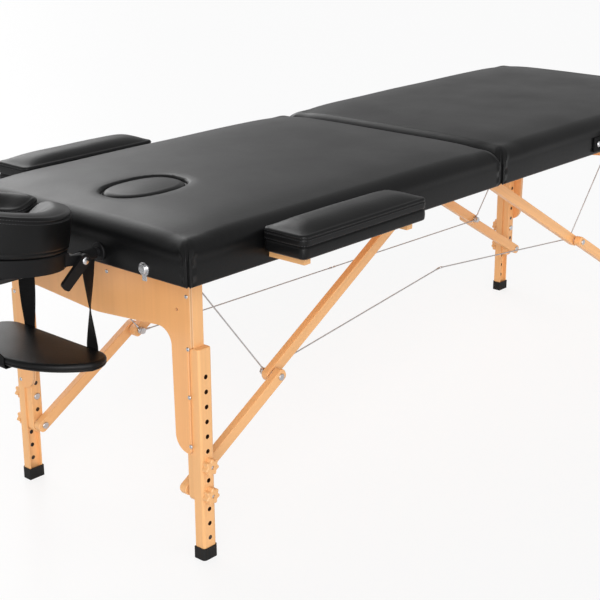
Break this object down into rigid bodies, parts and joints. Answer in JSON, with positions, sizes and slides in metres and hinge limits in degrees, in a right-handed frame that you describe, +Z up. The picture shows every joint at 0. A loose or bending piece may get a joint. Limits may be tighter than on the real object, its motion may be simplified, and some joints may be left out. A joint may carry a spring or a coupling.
{
  "type": "folding massage table",
  "caption": "Portable wooden massage table that folds in the middle, with braced adjustable legs, face cradle, hanging arm shelf and side armrests.",
  "frame": {"origin": "middle of the whole outline, on the floor", "axes": "+X along the table towards the foot end, +Y to the far side, +Z up"},
  "size_m": [2.1602, 0.834, 0.6944],
  "materials": {
    "black_vinyl": "fine-grained black vinyl, satin",
    "varnished_beech": "clear satin varnish",
    "birch_ply": "clear satin varnish, pale edges",
    "plated_steel": "bright plated",
    "rope_steel": "stranded wire rope",
    "black_rubber": "matt",
    "black_moulding": "fine moulded texture",
    "black_webbing": "woven webbing",
    "black_tube": "black, satin"
  },
  "bodies": {
    "head_section": {"head_cushion": "black_vinyl", "head_side_band": "black_vinyl", "head_deck": "birch_ply", "head_side_rails": "varnished_beech", "head_cross_rails": "varnished_beech", "head_pivot_rods": "plated_steel", "head_hinge_leaves": "plated_steel", "headrest_sockets": "black_moulding", "head_cables": "rope_steel"},
    "foot_section": {"foot_cushion": "black_vinyl", "foot_side_band": "black_vinyl", "foot_deck": "birch_ply", "foot_side_rails": "varnished_beech", "foot_cross_rails": "varnished_beech", "foot_pivot_rods": "plated_steel", "foot_hinge_leaves": "plated_steel", "foot_cables": "rope_steel", "carry_handle": "black_vinyl"},
    "headrest": {"headrest_frame": "black_tube", "arm_shelf": "black_vinyl", "shelf_straps": "black_webbing"},
    "cradle": {"cradle_platform": "black_moulding", "face_cushion": "black_vinyl"},
    "cam_lever": {"cam_lever": "black_moulding"},
    "near_armrest": {"near_armrest_pad": "black_vinyl", "near_armrest_bars": "varnished_beech"},
    "far_armrest": {"far_armrest_pad": "black_vinyl", "far_armrest_bars": "varnished_beech"},
    "face_plug": {"face_plug": "black_vinyl"},
    "case_latch": {"case_latch": "plated_steel"},
    "head_leg_frame": {"head_end_panel": "birch_ply", "head_leg_posts": "varnished_beech", "head_leg_bolts": "plated_steel"},
    "head_upper_braces": {"head_upper_struts": "varnished_beech", "head_elbow_pins": "plated_steel"},
    "head_lower_braces": {"head_lower_struts": "varnished_beech", "head_elbow_bolts": "plated_steel"},
    "head_near_leg": {"head_near_outer_leg": "varnished_beech", "head_near_rubber_foot": "black_rubber"},
    "head_near_upper_knob": {"head_near_upper_knob": "varnished_beech"},
    "head_near_lower_knob": {"head_near_lower_knob": "varnished_beech"},
    "head_far_leg": {"head_far_outer_leg": "varnished_beech", "head_far_rubber_foot": "black_rubber"},
    "head_far_upper_knob": {"head_far_upper_knob": "varnished_beech"},
    "head_far_lower_knob": {"head_far_lower_knob": "varnished_beech"},
    "foot_leg_frame": {"foot_end_panel": "birch_ply", "foot_leg_posts": "varnished_beech", "foot_leg_bolts": "plated_steel"},
    "foot_upper_braces": {"foot_upper_struts": "varnished_beech", "foot_elbow_pins": "plated_steel"},
    "foot_lower_braces": {"foot_lower_struts": "varnished_beech", "foot_elbow_bolts": "plated_steel"},
    "foot_near_leg": {"foot_near_outer_leg": "varnished_beech", "foot_near_rubber_foot": "black_rubber"},
    "foot_near_upper_knob": {"foot_near_upper_knob": "varnished_beech"},
    "foot_near_lower_knob": {"foot_near_lower_knob": "varnished_beech"},
    "foot_far_leg": {"foot_far_outer_leg": "varnished_beech", "foot_far_rubber_foot": "black_rubber"},
    "foot_far_upper_knob": {"foot_far_upper_knob": "varnished_beech"},
    "foot_far_lower_knob": {"foot_far_lower_knob": "varnished_beech"}
  },
  "joints": [
    {"name": "table_fold", "type": "hinge", "parent": "head_section", "child": "foot_section", "pos_m": [0.15508, 0, 0.553], "axis": [0, 1, 0], "range_deg": [0, 180], "deforming": ["head_cables", "foot_cables"]},
    {"name": "head_leg_fold", "type": "hinge", "parent": "head_section", "child": "head_leg_frame", "pos_m": [-0.69042, 0, 0.58], "axis": [0, -1, 0], "range_deg": [0, 90]},
    {"name": "head_upper_brace_fold", "type": "hinge", "parent": "head_section", "child": "head_upper_braces", "pos_m": [0.07958, 0, 0.58], "axis": [0, 1, 0], "range_deg": [0, 30.4]},
    {"name": "head_lower_brace_fold", "type": "hinge", "parent": "head_leg_frame", "child": "head_lower_braces", "pos_m": [-0.69042, 0, 0.13], "axis": [0, -1, 0], "range_deg": [0, 59.5]},
    {"name": "head_near_leg_height", "type": "slide", "parent": "head_leg_frame", "child": "head_near_leg", "axis": [0, 0, -1], "range_m": [0, 0.174]},
    {"name": "head_near_upper_knob_turn", "type": "hinge", "parent": "head_leg_frame", "child": "head_near_upper_knob", "pos_m": [-0.69042, -0.2743, 0.188], "axis": [0, -1, 0], "continuous": true},
    {"name": "head_near_lower_knob_turn", "type": "hinge", "parent": "head_leg_frame", "child": "head_near_lower_knob", "pos_m": [-0.69042, -0.2743, 0.13], "axis": [0, -1, 0], "continuous": true},
    {"name": "head_far_leg_height", "type": "slide", "parent": "head_leg_frame", "child": "head_far_leg", "axis": [0, 0, -1], "range_m": [0, 0.174]},
    {"name": "head_far_upper_knob_turn", "type": "hinge", "parent": "head_leg_frame", "child": "head_far_upper_knob", "pos_m": [-0.69042, 0.2743, 0.188], "axis": [0, 1, 0], "continuous": true},
    {"name": "head_far_lower_knob_turn", "type": "hinge", "parent": "head_leg_frame", "child": "head_far_lower_knob", "pos_m": [-0.69042, 0.2743, 0.13], "axis": [0, 1, 0], "continuous": true},
    {"name": "foot_leg_fold", "type": "hinge", "parent": "foot_section", "child": "foot_leg_frame", "pos_m": [0.98058, 0, 0.58], "axis": [0, 1, 0], "range_deg": [0, 90]},
    {"name": "foot_upper_brace_fold", "type": "hinge", "parent": "foot_section", "child": "foot_upper_braces", "pos_m": [0.21058, 0, 0.58], "axis": [0, -1, 0], "range_deg": [0, 30.4]},
    {"name": "foot_lower_brace_fold", "type": "hinge", "parent": "foot_leg_frame", "child": "foot_lower_braces", "pos_m": [0.98058, 0, 0.13], "axis": [0, 1, 0], "range_deg": [0, 59.5]},
    {"name": "foot_near_leg_height", "type": "slide", "parent": "foot_leg_frame", "child": "foot_near_leg", "axis": [0, 0, -1], "range_m": [0, 0.174]},
    {"name": "foot_near_upper_knob_turn", "type": "hinge", "parent": "foot_leg_frame", "child": "foot_near_upper_knob", "pos_m": [0.98058, -0.2383, 0.188], "axis": [0, -1, 0], "continuous": true},
    {"name": "foot_near_lower_knob_turn", "type": "hinge", "parent": "foot_leg_frame", "child": "foot_near_lower_knob", "pos_m": [0.98058, -0.2383, 0.13], "axis": [0, -1, 0], "continuous": true},
    {"name": "foot_far_leg_height", "type": "slide", "parent": "foot_leg_frame", "child": "foot_far_leg", "axis": [0, 0, -1], "range_m": [0, 0.174]},
    {"name": "foot_far_upper_knob_turn", "type": "hinge", "parent": "foot_leg_frame", "child": "foot_far_upper_knob", "pos_m": [0.98058, 0.2383, 0.188], "axis": [0, 1, 0], "continuous": true},
    {"name": "foot_far_lower_knob_turn", "type": "hinge", "parent": "foot_leg_frame", "child": "foot_far_lower_knob", "pos_m": [0.98058, 0.2383, 0.13], "axis": [0, 1, 0], "continuous": true},
    {"name": "headrest_slide", "type": "slide", "parent": "head_section", "child": "headrest", "axis": [-1, 0, 0], "range_m": [0, 0.05]},
    {"name": "cradle_tilt", "type": "hinge", "parent": "headrest", "child": "cradle", "pos_m": [-0.82292, 0, 0.578], "axis": [0, 1, 0], "range_deg": [-8, 22]},
    {"name": "cam_lever_turn", "type": "hinge", "parent": "headrest", "child": "cam_lever", "pos_m": [-0.82292, 0, 0.578], "axis": [0, -1, 0], "range_deg": [0, 90]},
    {"name": "near_armrest_slide", "type": "slide", "parent": "head_section", "child": "near_armrest", "axis": [0, -1, 0], "range_m": [0, 0.06]},
    {"name": "far_armrest_slide", "type": "slide", "parent": "head_section", "child": "far_armrest", "axis": [0, 1, 0], "range_m": [0, 0.06]},
    {"name": "face_plug_lift", "type": "slide", "parent": "head_section", "child": "face_plug", "axis": [0, 0, 1], "range_m": [0, 0.12]},
    {"name": "case_latch_turn", "type": "hinge", "parent": "head_section", "child": "case_latch", "pos_m": [-0.76992, -0.208, 0.57], "axis": [1, 0, 0], "range_deg": [0, 90]}
  ],
  "couplings": [
    {"joint": "head_leg_fold", "follows": "table_fold", "ratio": 0.5},
    {"joint": "head_upper_brace_fold", "follows": "table_fold", "ratio": 0.16887},
    {"joint": "head_lower_brace_fold", "follows": "table_fold", "ratio": 0.33054},
    {"joint": "foot_leg_fold", "follows": "table_fold", "ratio": 0.5},
    {"joint": "foot_upper_brace_fold", "follows": "table_fold", "ratio": 0.16887},
    {"joint": "foot_lower_brace_fold", "follows": "table_fold", "ratio": 0.33054}
  ]
}
